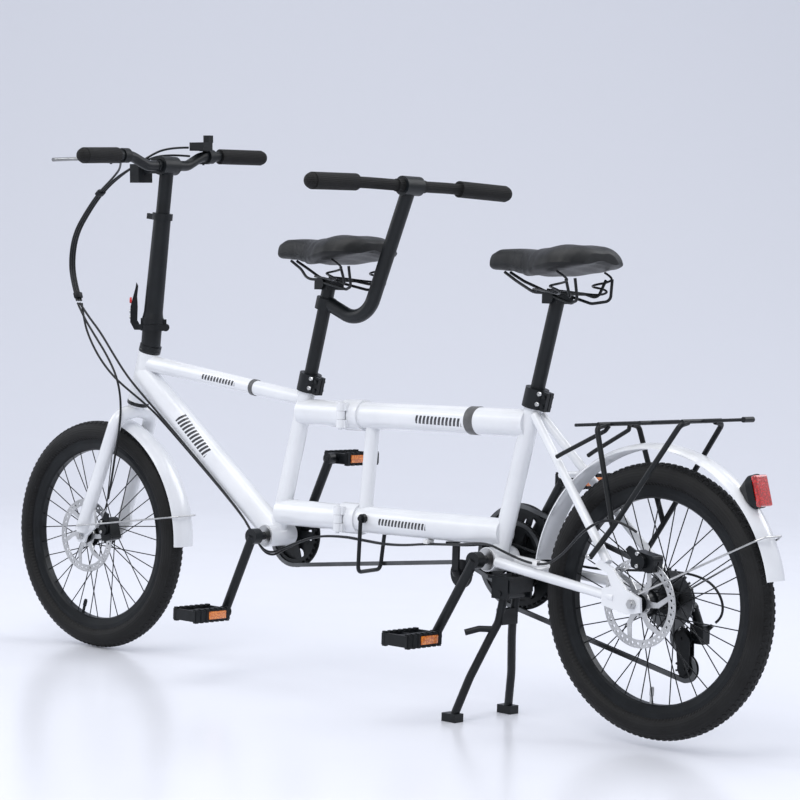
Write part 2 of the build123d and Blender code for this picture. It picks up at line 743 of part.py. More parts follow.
cogs = [14, 16, 18, 20, 22, 24, 28]
cog_pitch = 5.0
drive_cog = 1                        # the chain runs on this one, counted from the smallest
with BuildPart() as freewheel:
    for place, teeth in enumerate(cogs):
        y = drive_y + (drive_cog - place) * cog_pitch
        chain_ring_radius = pitch_radius(teeth)
        with BuildSketch(side_plane(rear_axle, y + 1)) as cog:
            Circle(chain_ring_radius - 3.4)
            with PolarLocations(chain_ring_radius - 2, teeth):
                Rectangle(7, 4)
        extrude(cog.sketch, amount=2)
    outer = drive_y + drive_cog * cog_pitch
    inner = outer - (len(cogs) - 1) * cog_pitch
    rod((rear_axle.X, inner - 1, rear_axle.Z), (rear_axle.X, outer + 1, rear_axle.Z), 22)
    disc(rear_axle, 11.05, 90, Mode.SUBTRACT)
save(freewheel, "freewheel")


# Chains -----------------------------------------------------------------------

def tangent(first, second):
    """Direction of travel along the straight run between two wheels of a chain."""
    (start, start_radius, start_turn), (end, end_radius, end_turn) = first, second
    line = end - start
    across = end_radius * end_turn - start_radius * start_turn
    return atan2(line.Z, line.X) - asin(across / line.length)


def rim_point(wheel_spot, heading):
    """Where a chain that travels along a heading touches a wheel."""
    centre, radius, turn = wheel_spot
    return (centre.X + sin(heading) * radius * turn, centre.Z - cos(heading) * radius * turn)


def chain_outline(wheels, spread):
    """Closed line round the wheels, pushed outwards by spread."""
    spots = [(centre, radius + spread * turn, turn) for centre, radius, turn in wheels]
    count = len(spots)
    headings = [tangent(spots[n], spots[(n + 1) % count]) for n in range(count)]
    with BuildLine() as line:
        for number, spot in enumerate(spots):
            arrive, leave = headings[number - 1], headings[number]
            sweep_angle = (spot[2] * (leave - arrive)) % (2 * pi)
            middle = arrive + spot[2] * sweep_angle / 2
            following = spots[(number + 1) % count]
            ThreePointArc(rim_point(spot, arrive), rim_point(spot, middle), rim_point(spot, leave))
            Line(rim_point(spot, leave), rim_point(following, leave))
    return line


def chain(wheels, y):
    """Two rows of side plates, with pins across the straight runs."""
    plane = Plane((0, y, 0), x_dir=(1, 0, 0), z_dir=(0, -1, 0))
    count = len(wheels)
    outer, inner = chain_outline(wheels, 4.1), chain_outline(wheels, -4.1)
    with BuildPart() as loop:
        for side in (-1, 1):
            with BuildSketch(plane.offset(side * 3.2 + 0.6)) as band:
                add(outer.line)
                make_face()
                with BuildSketch(mode=Mode.PRIVATE) as hole:
                    add(inner.line)
                    make_face()
                add(hole.sketch, mode=Mode.SUBTRACT)
            extrude(band.sketch, amount=-1.2)
        for number, spot in enumerate(wheels):
            following = wheels[(number + 1) % count]
            heading = tangent(spot, following)
            (x1, z1), (x2, z2) = rim_point(spot, heading), rim_point(following, heading)
            start, run = Vector(x1, y, z1), Vector(x2 - x1, 0, z2 - z1)
            pins = int(run.length / (4 * tooth_pitch))
            for pin in range(1, pins):
                disc(start + run * (pin / pins), 3, 3)
    return loop


idler_centre = Vector(247, 0, 262)
idler_radius = pitch_radius(11)
timing_wheels = [(front_bottom, pitch_radius(timing_teeth), 1), (idler_centre, idler_radius, -1),
                 (rear_bottom, pitch_radius(timing_teeth), 1)]
timing_chain = chain(timing_wheels, chain_y)
save(timing_chain, "timing_chain")

tension_pulley, guide_pulley = Vector(779, 0, 143), Vector(770, 0, 197)
drive_wheels = [(rear_bottom, pitch_radius(drive_teeth), 1), (tension_pulley, idler_radius, 1),
                (guide_pulley, idler_radius, -1), (rear_axle, pitch_radius(cogs[drive_cog]), 1)]
drive_chain = chain(drive_wheels, drive_y)
save(drive_chain, "drive_chain")


def small_wheel(centre, y, bore):
    with BuildPart() as pulley:
        with BuildSketch(side_plane(Vector(centre.X, 0, centre.Z), y + 1)) as teeth:
            Circle(idler_radius - 3.4)
            with PolarLocations(idler_radius - 2, 11):
                Rectangle(6, 3.6)
        extrude(teeth.sketch, amount=2)
        disc(Vector(centre.X, y, centre.Z), 8, 3)
        disc(Vector(centre.X, y, centre.Z), bore + 0.05, 10, Mode.SUBTRACT)
    return pulley


idler = small_wheel(idler_centre, chain_y, 4)
save(idler, "idler")
upper_pulley = small_wheel(guide_pulley, drive_y, 3)
save(upper_pulley, "upper_pulley")
lower_pulley = small_wheel(tension_pulley, drive_y, 3)
save(lower_pulley, "lower_pulley")

with BuildPart() as derailleur:
    for y in (drive_y - 7.4, drive_y + 5.4):
        with BuildSketch(Plane((0, y, 0), x_dir=(1, 0, 0), z_dir=(0, -1, 0))) as cage:
            with BuildLine():
                Polyline((tension_pulley.X - 13, tension_pulley.Z - 4), (tension_pulley.X, tension_pulley.Z - 14),
                         (tension_pulley.X + 13, tension_pulley.Z), (guide_pulley.X + 20, guide_pulley.Z),
                         (guide_pulley.X + 8, guide_pulley.Z + 13), (guide_pulley.X - 12, guide_pulley.Z + 6),
                         close=True)
            make_face()
        extrude(cage.sketch, amount=-2)
    for pulley in (tension_pulley, guide_pulley):
        disc(Vector(pulley.X, drive_y, pulley.Z), 3, 9)
    with Locations(Plane((794, 77, 205))):
        Box(30, 20, 34)
    rod((786, drive_y + 5, 197), (786, 76, 199), 9)
    rod((794, 78, 214), (778, 80, 246), 9)
    disc(Vector(772, 80, 250), 11, 6.3)
    with BuildSketch(Plane((0, 73.6, 0), x_dir=(1, 0, 0), z_dir=(0, -1, 0))) as hanger:
        with BuildLine():
            Polyline((748, 268), (762, 274), (784, 252), (778, 238), (762, 240), (748, 258), close=True)
        make_face()
    extrude(hanger.sketch, amount=-3.2)
    disc(rear_axle, 9, 90, Mode.SUBTRACT)
    rod((804, 84, 212), (814, 86, 222), 4)
save(derailleur, "derailleur")


# Stands and brackets ------------------------------------------------------------

stand_pivot = Vector(412, 0, 246)
with BuildPart() as brackets:
    with Locations(Plane((412, 0, 275.5))):
        Box(60, 72, 5)
    for side in (-1, 1):
        with Locations(Plane((412, side * 33, 256))):
            Box(40, 5, 40)
    with Locations(Plane((434, 0, 262))):
        Box(4, 66, 28)
    rod(Vector(412, -38, 246), Vector(412, 38, 246), 5)
    rod((418, 0, 272), (418, 0, 284), 6)
    with Locations(Plane((idler_centre.X, 24, 299))):
        Box(16, 5, 60)
    with Locations(Plane((idler_centre.X, 14, 323.6))):
        Box(16, 24, 5)
    rod(Vector(idler_centre.X, 24, idler_centre.Z + 10), Vector(idler_centre.X, 30, idler_centre.Z), 9)
    rod(Vector(idler_centre.X, 26, idler_centre.Z), Vector(idler_centre.X, 54, idler_centre.Z), 4)
    disc(Vector(idler_centre.X, 41.5, idler_centre.Z), 28, 1)
save(brackets, "brackets")

with BuildPart() as centre_stand:
    rod(stand_pivot - Vector(0, 29.5, 0), stand_pivot + Vector(0, 29.5, 0), 12)
    for side in (-1, 1):
        bent([Vector(408, side * 18, 240), Vector(399, side * 20, 190), Vector(388, side * 32, 158),
              Vector(366, side * 60, 84), Vector(344, side * 79, 6)], 8, [40, 40, 120])
        with Locations(Plane((343, side * 79.5, 8))):
            Box(34, 24, 16)
    with Locations(Plane((402, 0, 200))):
        Box(16, 44, 30)
    bent([Vector(396, -24, 176), Vector(372, -44, 176), Vector(352, -62, 168)], 6, 20)
    disc(stand_pivot, 5.05, 60, Mode.SUBTRACT)
save(centre_stand, "centre_stand")

with BuildPart() as fold_stand:
    for side in (-1, 1):
        disc(Vector(48, side * 32, 356), 9, 4)
        disc(Vector(48, side * 36, 356), 5, 6)
    bent([Vector(48, -38, 352), Vector(46, -39, 250), Vector(32, 39, 250), Vector(46, 38, 352)], 4, 11)
    rod(lower_line(0), lower_line(100), main_tube + 0.02, Mode.SUBTRACT)
save(fold_stand, "fold_stand")


# Seats -----------------------------------------------------------------------------

post_radius = 13.6


def seat_height(bottom):
    return 797.0 if bottom is rear_bottom else 809.0


def nose_reach(bottom):
    """How far the saddle's nose stands ahead of its post."""
    return 160.0 if bottom is rear_bottom else 138.0


def seatpost(bottom):
    """Post with its clamp, the two saddle rails and the springs under the back."""
    top = on_seat(bottom, seat_height(bottom))
    back = Vector(160 - nose_reach(bottom), 0, 0)
    with BuildPart() as post:
        rod(on_seat(bottom, 452), top, post_radius)
        with Locations(Plane(top + floor_up * 4)):
            Box(36, 48, 20)
        disc(top + floor_up * 6, 12, 29)
        for side in (-1, 1):
            bent([top + back + Vector(-124, side * 8, 50), top + back + Vector(-92, side * 11, 34),
                  top + Vector(-40, side * 22, 14), top + Vector(44, side * 22, 14),
                  top + back + Vector(62, side * 40, 6), top + back + Vector(66, side * 58, 40)], 2.8,
                 [60, 50, 14, 12])
            bent([top + Vector(10, side * 26, 8), top + back + Vector(56, side * 30, -4),
                  top + back + Vector(86, side * 48, 2), top + back + Vector(84, side * 54, 42)], 2.8,
                 [14, 12])
        rod(top + Vector(46, -30, 13), top + Vector(46, 30, 13), 2.8)
    return post


def saddle(bottom):
    """Broad padded saddle: a plan of three circles, cut to its side view."""
    top = on_seat(bottom, seat_height(bottom))
    nose = top - Vector(nose_reach(bottom), 0, 0)
    with BuildPart() as seat:
        with BuildSketch(Plane((nose.X, 0, nose.Z + 44))) as plan:
            with Locations((20, 0)):
                Circle(20)
            with Locations((212, 52), (212, -52)):
                Circle(46)
            make_hull()
        extrude(plan.sketch, amount=70)
        with BuildSketch(side_plane(Vector(nose.X, 0, nose.Z), 0)) as side_view:
            with BuildLine():
                Polyline((-5, 58), (0, 80), (20, 91), (70, 94), (140, 93), (215, 104), (250, 96), (262, 80),
                         (258, 62), (160, 52), (100, 60), (40, 58), close=True)
            make_face()
        extrude(side_view.sketch, amount=120, both=True, mode=Mode.INTERSECT)
    return seat


front_seatpost = seatpost(front_bottom)
save(front_seatpost, "front_seatpost")
rear_seatpost = seatpost(rear_bottom)
save(rear_seatpost, "rear_seatpost")
front_saddle = saddle(front_bottom)
save(front_saddle, "front_saddle")
rear_saddle = saddle(rear_bottom)
save(rear_saddle, "rear_saddle")


stoker_centre = Vector(119, 0, 1010)
clamp_spot = on_seat(front_bottom, 775)
with BuildPart() as stoker_stem:
    rod(clamp_spot - seat_dir * 12, clamp_spot + seat_dir * 12, 20)
    bent([clamp_spot + Vector(10, 0, 0), Vector(7, 0, 734), Vector(114, 0, 1000)], 14.3, [58])
    disc(stoker_centre, 19, 24)
    rod(on_seat(front_bottom, 740), on_seat(front_bottom, 812), post_radius + 0.02, Mode.SUBTRACT)
    disc(stoker_centre, 12.7, 60, Mode.SUBTRACT)
save(stoker_stem, "stoker_stem")

with BuildPart() as stoker_bar:
    disc(stoker_centre, 12.6, 40)
    for side in (-1, 1):
        bent([stoker_centre + Vector(0, side * 30, 0), stoker_centre + Vector(-8, side * 120, 1),
              stoker_centre + Vector(5, side * 275, -3)], bar_radius, 200)
        inner = stoker_centre + Vector(-5.6, side * 148, 0.6)
        outer = stoker_centre + Vector(5, side * 275, -3)
        rod(inner, outer, grip_radius)
        ball(outer, grip_radius - 1)
save(stoker_bar, "stoker_bar")


# Cables -----------------------------------------------------------------------------

cable_radius = 2.4
tie_spot = Vector(-808, -55, 761)
bow = [(-707, -46, 1029), (-755, -47, 996), (-797, -48, 953), (-830, -50, 909), (-840, -52, 858),
       (-832, -54, 808)]


def shifted(points, y, z=0.0):
    return [Vector(*point) + Vector(0, y, z) for point in points]


with BuildPart() as loop_cables:
    starts = ([(-628, -102, 1068), (-664, -66, 1052)], [(-624, 92, 1082), (-644, 44, 1084), (-666, 0, 1069)],
              [(-620, 84, 1100), (-640, 40, 1098), (-664, 4, 1075)])
    for strand, start in enumerate(starts):
        cord(shifted(start, 0) + shifted(bow + [tuple(tie_spot)], (strand - 1) * 6), cable_radius)
    for spot in (Vector(-755, -47, 996), tie_spot + Vector(-4, 0, 12)):
        with Locations(Plane(spot)):
            Box(10, 20, 10)
save(loop_cables, "loop_cables")

below_tie = tie_spot + Vector(2.3, 0, -4.5)
with BuildPart() as fork_cable:
    cord([below_tie + Vector(0, -6, 0), (-784, -62, 728), (-749, -60, 690), (-706, -58, 646),
          (-672, -56, 598), (-659, -55, 544), (-664, -54, 487), (-677, -53, 435), (-686, -53, 382),
          (-698, -52, 336)], cable_radius)
save(fork_cable, "fork_cable")

under_hinge = 311.0
with BuildPart() as frame_cables:
    inner_sweep = [(-779, -52, 728), (-743, -48, 696), (-700, -45, 648), (-658, -42, 604), (-612, -37, 566),
                   (-562, -32, 527)]
    outer_sweep = [(-797, -49, 716), (-774, -49, 676), (-738, -50, 636), (-694, -48, 600),
                   (-648, -42, 572), (-604, -34, 546), (-562, -27, 517)]
    under_tube = [(-306, -31, 343), (-272, -28, 300), (-229, -24, 256)]
    to_hinge = [(-170, -18, 282), (-112, -11, 304), (-58, -7, 311), (-18, -6, under_hinge)]
    cord([below_tie] + inner_sweep + under_tube + to_hinge, cable_radius)
    cord([below_tie + Vector(0, 6, 0)] + outer_sweep + shifted(under_tube, 6, -7) + shifted(to_hinge, 6),
         cable_radius)
save(frame_cables, "frame_cables")

with BuildPart() as rear_cables:
    run_back = [(-16, -6, under_hinge), (30, -7, 309), (84, -9, 307), (140, -10, 310), (196, -12, 318),
                (250, -14, 322)]
    cord(run_back + [(300, -20, 327), (340, -27, 334), (380, -33, 336), (424, -38, 325), (468, -43, 315),
                     (510, -49, 311), (556, -64, 318), (604, -82, 344), (646, -92, 382), (690, -92, 410),
                     (733, -84, 412), (760, -74, 394)], cable_radius)
    cord(shifted(run_back, 6) + [(296, 8, 323), (334, 25, 330), (376, 33, 334), (420, 38, 324),
                                 (468, 40, 314), (520, 43, 307), (572, 49, 303), (622, 66, 305),
                                 (668, 86, 307), (718, 92, 310), (768, 92, 309), (808, 92, 297),
                                 (832, 92, 268), (832, 91, 238), (820, 88, 228)], cable_radius)
save(rear_cables, "rear_cables")
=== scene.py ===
import bpy
from math import radians, sin, cos, pi, exp
from mathutils import Matrix, Vector


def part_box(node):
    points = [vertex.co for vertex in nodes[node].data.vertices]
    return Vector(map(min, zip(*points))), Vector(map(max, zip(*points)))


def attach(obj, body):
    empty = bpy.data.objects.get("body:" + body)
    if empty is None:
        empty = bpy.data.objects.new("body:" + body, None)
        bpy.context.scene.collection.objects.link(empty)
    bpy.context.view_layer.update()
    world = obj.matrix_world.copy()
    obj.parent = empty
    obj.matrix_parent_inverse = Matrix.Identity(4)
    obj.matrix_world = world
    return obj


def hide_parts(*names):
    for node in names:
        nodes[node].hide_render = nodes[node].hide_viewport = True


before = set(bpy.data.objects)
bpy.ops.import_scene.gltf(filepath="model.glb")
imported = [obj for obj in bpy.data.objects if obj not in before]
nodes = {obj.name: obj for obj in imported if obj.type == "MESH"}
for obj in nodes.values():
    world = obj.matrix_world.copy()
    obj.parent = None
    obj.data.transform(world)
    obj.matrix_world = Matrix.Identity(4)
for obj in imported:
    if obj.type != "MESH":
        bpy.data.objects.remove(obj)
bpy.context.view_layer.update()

# camera: to the left of the bicycle and behind it, at saddle height
camera = {"place": (3.5205, -3.6419, 0.8187), "lens": 114.9,
          "turn": ((0.728521, -0.053058, 0.682966),
                   (0.684357, 0.012378, -0.729042),
                   (0.030228, 0.998515, 0.045328))}
lens = bpy.data.cameras.new("camera")
lens.lens = camera["lens"]
lens.sensor_width = 36
lens.clip_end = 60
viewer = bpy.data.objects.new("camera", lens)
bpy.context.collection.objects.link(viewer)
viewer.matrix_world = Matrix.Translation(camera["place"]) @ Matrix(camera["turn"]).to_4x4()
bpy.context.scene.camera = viewer


def letGo():
    if bpy.context.mode != "OBJECT":
        bpy.ops.object.mode_set(mode="OBJECT")
    bpy.ops.object.select_all(action="DESELECT")


def edit(kind="VERT", pick="SELECT"):
    bpy.ops.object.mode_set(mode="EDIT")
    bpy.ops.mesh.select_mode(type=kind)
    bpy.ops.mesh.select_all(action=pick)


def done(piece, name, finish, body, smooth=35):
    letGo()
    piece.select_set(True)
    bpy.context.view_layer.objects.active = piece
    edit()
    bpy.ops.mesh.remove_doubles(threshold=0.000005)
    bpy.ops.mesh.normals_make_consistent(inside=False)
    bpy.ops.object.mode_set(mode="OBJECT")
    bpy.ops.object.shade_smooth_by_angle(angle=radians(smooth))
    piece.name = name
    piece.data.name = name
    piece.data.materials.clear()
    piece.data.materials.append(finish.material)
    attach(piece, body)
    letGo()
    return piece


def put(piece, at, along=(0, 0, 1), roll=0.0):
    # a piece is made about +Z at the world's origin, then its mesh goes to its place
    turn = Vector(along).to_track_quat("Z", "X").to_matrix().to_4x4()
    piece.data.transform(Matrix.Translation(Vector(at)) @ turn @ Matrix.Rotation(radians(roll), 4, "Z"))
    return piece


def modify(piece, kind, **settings):
    letGo()
    piece.select_set(True)
    bpy.context.view_layer.objects.active = piece
    modifier = piece.modifiers.new(kind.lower(), kind)
    for key, value in settings.items():
        setattr(modifier, key, value)
    bpy.ops.object.modifier_apply(modifier=modifier.name)
    letGo()
    return piece


def turned(profile, sides=32):
    # a lathe shape about Z: each row is a height and a radius
    letGo()
    height, radius = profile[0]
    bpy.ops.mesh.primitive_circle_add(vertices=sides, radius=radius, location=(0, 0, height),
                                      fill_type="NGON")
    piece = bpy.context.active_object
    edit()
    for (low, small), (high, large) in zip(profile, profile[1:]):
        bpy.ops.mesh.extrude_region_move(TRANSFORM_OT_translate={"value": (0, 0, high - low)})
        bpy.ops.transform.resize(value=(large / small, large / small, 1))
    bpy.ops.object.mode_set(mode="OBJECT")
    bpy.ops.object.transform_apply(location=True, rotation=True, scale=True)
    return piece


def slab(size, edge=0.001, steps=2):
    # a box with rounded edges
    letGo()
    bpy.ops.mesh.primitive_cube_add(size=1)
    piece = bpy.context.active_object
    piece.scale = size
    bpy.ops.object.transform_apply(location=True, rotation=True, scale=True)
    edit("EDGE")
    bpy.ops.mesh.bevel(offset=edge, segments=steps, profile=0.6, affect="EDGES")
    bpy.ops.object.mode_set(mode="OBJECT")
    return piece


def wire(points, radius, rounds=3):
    # a bent wire that follows a smooth line
    line = bpy.data.curves.new("wire", "CURVE")
    line.dimensions = "3D"
    line.bevel_depth = radius
    line.bevel_resolution = rounds
    line.resolution_u = 8
    line.use_fill_caps = True
    run = line.splines.new("NURBS")
    run.points.add(len(points) - 1)
    for spot, point in zip(run.points, points):
        spot.co = (*point, 1)
    run.order_u = 3
    run.use_endpoint_u = True
    piece = bpy.data.objects.new("wire", line)
    bpy.context.collection.objects.link(piece)
    letGo()
    piece.select_set(True)
    bpy.context.view_layer.objects.active = piece
    bpy.ops.object.convert(target="MESH")
    return bpy.context.active_object


def join(pieces):
    letGo()
    for piece in pieces:
        piece.select_set(True)
    bpy.context.view_layer.objects.active = pieces[0]
    bpy.ops.object.join()
    return pieces[0]


def copyOf(piece, placing):
    twin = piece.copy()
    twin.data = piece.data.copy()
    bpy.context.collection.objects.link(twin)
    twin.data.transform(placing)
    return twin


def middle(node):
    low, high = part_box(node)
    return (low + high) / 2


headAngle = radians(73.5)
steering = {"head": Vector((-0.6345, 0, 0.657)), "along": Vector((cos(headAngle), 0, sin(headAngle))),
            "turn": 2.8}


def steered(point):
    turn = Matrix.Rotation(radians(steering["turn"]), 4, steering["along"])
    return steering["head"] + turn @ (Vector(point) - steering["head"])


def steeredWay(way):
    return Matrix.Rotation(radians(steering["turn"]), 3, steering["along"]) @ Vector(way)


class Flow:
    # one socket, so that shader maths reads as plain sums
    def __init__(self, owner, socket):
        self.owner, self.socket = owner, socket

    def calc(self, operation, *others):
        return self.owner.node("ShaderNodeMath", {"operation": operation}, dict(enumerate((self, *others))))

    def __add__(self, other):
        return self.calc("ADD", other)

    def __sub__(self, other):
        return self.calc("SUBTRACT", other)

    def __rsub__(self, other):
        return self.owner.node("ShaderNodeMath", {"operation": "SUBTRACT"}, {0: other, 1: self})

    def __mul__(self, other):
        return self.calc("MULTIPLY", other)

    def __truediv__(self, other):
        return self.calc("DIVIDE", other)

    def __gt__(self, other):
        return self.calc("GREATER_THAN", other)

    def __lt__(self, other):
        return self.calc("LESS_THAN", other)

    __radd__, __rmul__ = __add__, __mul__


class Finish:
    def __init__(self, name, **values):
        self.material = bpy.data.materials.new(name)
        self.material.use_nodes = True
        self.tree = self.material.node_tree
        self.shader = self.tree.nodes["Principled BSDF"]
        self.set(**values)

    def node(self, kind, settings=None, sockets=None, output=0):
        made = self.tree.nodes.new(kind)
        for key, value in (settings or {}).items():
            if key == "stops":
                ramp = made.color_ramp
                while len(ramp.elements) < len(value):
                    ramp.elements.new(0.5)
                for element, (place, colour) in zip(ramp.elements, value):
                    element.position, element.color = place, colour
            else:
                setattr(made, key, value)
        for key, value in (sockets or {}).items():
            if isinstance(value, Flow):
                self.tree.links.new(value.socket, made.inputs[key])
            elif value is not None:
                made.inputs[key].default_value = value
        return Flow(self, made.outputs[output])

    def set(self, **values):
        for key, value in values.items():
            socket = self.shader.inputs[key.replace("_", " ")]
            if isinstance(value, Flow):
                self.tree.links.new(value.socket, socket)
            else:
                socket.default_value = value
        return self

    def place(self, centre=(0, 0, 0), turn=(0, 0, 0), size=(1, 1, 1)):
        spot = self.node("ShaderNodeTexCoord", output=3)
        moved = self.node("ShaderNodeVectorMath", {"operation": "SUBTRACT"}, {0: spot, 1: tuple(centre)})
        return self.node("ShaderNodeMapping", None, {"Vector": moved, "Rotation": turn, "Scale": size})

    def noise(self, spot, scale, detail=3.0, rough=0.5):
        return self.node("ShaderNodeTexNoise", None,
                         {"Vector": spot, "Scale": scale, "Detail": detail, "Roughness": rough})

    def blend(self, factor, first, second):
        return self.node("ShaderNodeMix", {"data_type": "RGBA"}, {0: factor, 6: first, 7: second}, 2)

    def bump(self, height, depth, strength=1.0):
        return self.set(Normal=self.node("ShaderNodeBump", None,
                                         {"Height": height, "Distance": depth, "Strength": strength}))

    def ramp(self, factor, *stops):
        return self.node("ShaderNodeValToRGB", {"stops": stops}, {0: factor})

    def axes(self, spot):
        split = self.node("ShaderNodeSeparateXYZ", None, {0: spot})
        outputs = split.socket.node.outputs
        return [Flow(self, outputs[n]) for n in range(3)]


def grey(value, tint=0.0):
    return (value - tint, value, value + tint, 1)


def paint(name, colour, dark, marks=()):
    finish = Finish(name, Roughness=0.24, Coat_Weight=0.55, Coat_Roughness=0.06)
    spot = finish.place()
    cloud = finish.noise(spot, 9, 4)
    tone = finish.ramp(cloud, (0.3, dark), (0.62, colour))
    for start, along, across, length, width, pitch, slant, side in marks:
        # a row of slanted dashes along a tube, in place of lettering
        moved = finish.node("ShaderNodeVectorMath", {"operation": "SUBTRACT"}, {0: spot, 1: start})
        run = finish.node("ShaderNodeVectorMath", {"operation": "DOT_PRODUCT"}, {0: moved, 1: along}, 1)
        rise = finish.node("ShaderNodeVectorMath", {"operation": "DOT_PRODUCT"}, {0: moved, 1: across}, 1)
        sideways = finish.axes(spot)[1]
        inside = (run > 0) * (run < length) * (rise > -width / 2) * (rise < width / 2)
        inside = inside * (sideways * side > 0.008)
        dash = ((run - rise * slant) / pitch).calc("FRACT") < 0.62
        tone = finish.blend(inside * dash, tone, (0.025, 0.026, 0.03, 1))
    finish.set(Base_Color=tone, Roughness=finish.noise(spot, 60, 2) * 0.1 + 0.18)
    return finish.bump(finish.noise(spot, 420, 2), 0.00012)


def coat(name, shade=0.006, rough=0.42, grain=1400, depth=0.00005, metal=0.0, sheen=0.06):
    finish = Finish(name, Metallic=metal, Coat_Weight=sheen, Coat_Roughness=0.25, Specular_IOR_Level=0.26)
    spot = finish.place()
    cloud = finish.noise(spot, 24, 5, 0.6)
    tone = finish.ramp(cloud, (0.3, grey(shade * 0.75, 0.001)), (0.7, grey(shade * 1.5, 0.002)))
    finish.set(Base_Color=tone,
               Roughness=finish.noise(spot, 90, 3) * 0.22 + (rough - 0.1))
    return finish.bump(finish.noise(spot, grain, 2), depth)


def steel(name, shade=0.55, rough=0.28, brush=(40, 900, 40), centre=None, turn=0.0):
    finish = Finish(name, Metallic=1.0)
    if centre is None:
        streak = finish.noise(finish.place(size=brush), 1.0, 4, 0.65)
    else:
        x, y, z = finish.axes(finish.place(centre, (0, 0, turn)))
        reach = (x * x + z * z).calc("SQRT")
        streak = finish.node("ShaderNodeTexNoise", {"noise_dimensions": "1D"},
                             {"W": reach * 1500, "Scale": 1.0, "Detail": 3.0})
    spot = finish.place()
    stain = finish.noise(spot, 30, 4)
    tone = finish.ramp(stain, (0.3, grey(shade * 0.72, 0.004)), (0.7, grey(shade, 0.004)))
    finish.set(Base_Color=tone, Roughness=streak * 0.25 + (rough - 0.1))
    return finish.bump(streak, 0.00004)


def tyreRubber(name, centre, turn):
    # side wall with moulded rings and a fine radial rib near the bead
    finish = Finish(name, Specular_IOR_Level=0.22)
    x, y, z = finish.axes(finish.place(centre, (0, 0, radians(-turn))))
    reach = (x * x + z * z).calc("SQRT")
    angle = z.calc("ARCTAN2", x)
    rings = (reach * 1256).calc("SINE")
    ribs = (angle * 180).calc("SINE") * (reach < 0.214) * (reach > 0.206)
    dust = finish.noise(finish.place(), 16, 6, 0.65)
    grain = finish.noise(finish.place(), 1100, 2)
    tone = finish.ramp(dust, (0.35, grey(0.006)), (0.78, grey(0.015, 0.0005)))
    finish.set(Base_Color=tone, Roughness=dust * 0.22 + 0.5)
    return finish.bump(rings * 0.35 + ribs * 0.8 + grain * 0.3, 0.0004)


def leather(name):
    finish = Finish(name, Coat_Weight=0.05, Coat_Roughness=0.35, Specular_IOR_Level=0.26)
    spot = finish.place()
    cells = finish.node("ShaderNodeTexVoronoi", {"feature": "DISTANCE_TO_EDGE"},
                        {"Vector": spot, "Scale": 520.0})
    crease = cells.calc("MINIMUM", 0.12) * 6
    worn = finish.noise(spot, 11, 5, 0.6)
    tone = finish.ramp(worn, (0.35, grey(0.006, 0.0005)), (0.72, grey(0.013, 0.001)))
    finish.set(Base_Color=tone, Roughness=worn * 0.2 + 0.36)
    return finish.bump(crease + finish.noise(spot, 900, 2) * 0.4, 0.00012)


def gripRubber(name):
    # small diamond studs
    finish = Finish(name, Specular_IOR_Level=0.22)
    spot = finish.place()
    x, y, z = finish.axes(spot)
    studs = (y * 1250 + z * 900).calc("SINE") * (y * 1250 - z * 900).calc("SINE")
    dust = finish.noise(spot, 40, 4)
    finish.set(Base_Color=finish.ramp(dust, (0.3, grey(0.005)), (0.75, grey(0.012))),
               Roughness=dust * 0.2 + 0.55)
    return finish.bump(studs, 0.0005)


def lensPlastic(name, colour, deep):
    # prism cells under a clear face
    finish = Finish(name, Roughness=0.08, Coat_Weight=0.8, Coat_Roughness=0.03, Specular_IOR_Level=0.8)
    spot = finish.place()
    cells = finish.node("ShaderNodeTexVoronoi", {"feature": "F1"}, {"Vector": spot, "Scale": 330.0})
    finish.set(Base_Color=finish.ramp(cells, (0.15, colour), (0.7, deep)))
    return finish.bump(cells, 0.0006, 0.6)


whitePaint = paint("white_paint", (0.75, 0.765, 0.79, 1), (0.68, 0.695, 0.725, 1))
downWay = Vector((0.7886, 0, -0.6149))
framePaint = paint("white_frame_paint", (0.75, 0.765, 0.79, 1), (0.68, 0.695, 0.725, 1), [
    ((-0.510, 0, 0.5235), downWay, (0.6149, 0, 0.7886), 0.118, 0.020, 0.0098, 0.25, -1),
    ((-0.448, 0, 0.6126), (0.994, 0, -0.108), (0.108, 0, 0.994), 0.100, 0.011, 0.0090, 0.25, -1),
    ((0.175, 0, 0.5590), (1, 0, 0.0227), (0, 0, 1), 0.118, 0.016, 0.0098, 0.25, -1),
    ((0.085, 0, 0.3520), (1, 0, 0.017), (0, 0, 1), 0.125, 0.013, 0.0088, 0.25, -1)])
blackCoat = coat("black_powder_coat")
blackGloss = coat("black_gloss_coat", 0.005, 0.26, 700, 0.00003, 0.0, 0.2)
blackAnodised = coat("black_anodised", 0.009, 0.36, 1200, 0.00003, 0.4, 0.04)
brushedSteel = steel("brushed_steel")
darkSteel = steel("dark_chain_steel", 0.16, 0.36)
boltSteel = steel("bolt_steel", 0.62, 0.24, (300, 300, 300))
leverAlloy = steel("lever_alloy", 0.42, 0.34, (300, 300, 300))
brass = steel("valve_brass", 0.5, 0.3, (300, 300, 300))
blackPlastic = coat("black_plastic", 0.006, 0.50, 600, 0.0001, 0.0, 0.02)
saddleLeather = leather("saddle_leather")
studdedRubber = gripRubber("studded_grip_rubber")
amberLens = lensPlastic("amber_reflector", (0.95, 0.30, 0.03, 1), (0.55, 0.12, 0.01, 1))
redLens = lensPlastic("red_reflector", (0.75, 0.015, 0.012, 1), (0.28, 0.004, 0.004, 1))
cableCover = coat("cable_cover", 0.005, 0.32, 500, 0.00002, 0.0, 0.15)
greyBand = coat("grey_band", 0.10, 0.4, 900, 0.00004)
whitePlastic = coat("white_plastic", 0.62, 0.35, 600, 0.00004, 0.0, 0.3)
redPlastic = Finish("red_button", Roughness=0.3)
redCloud = redPlastic.noise(redPlastic.place(), 60)
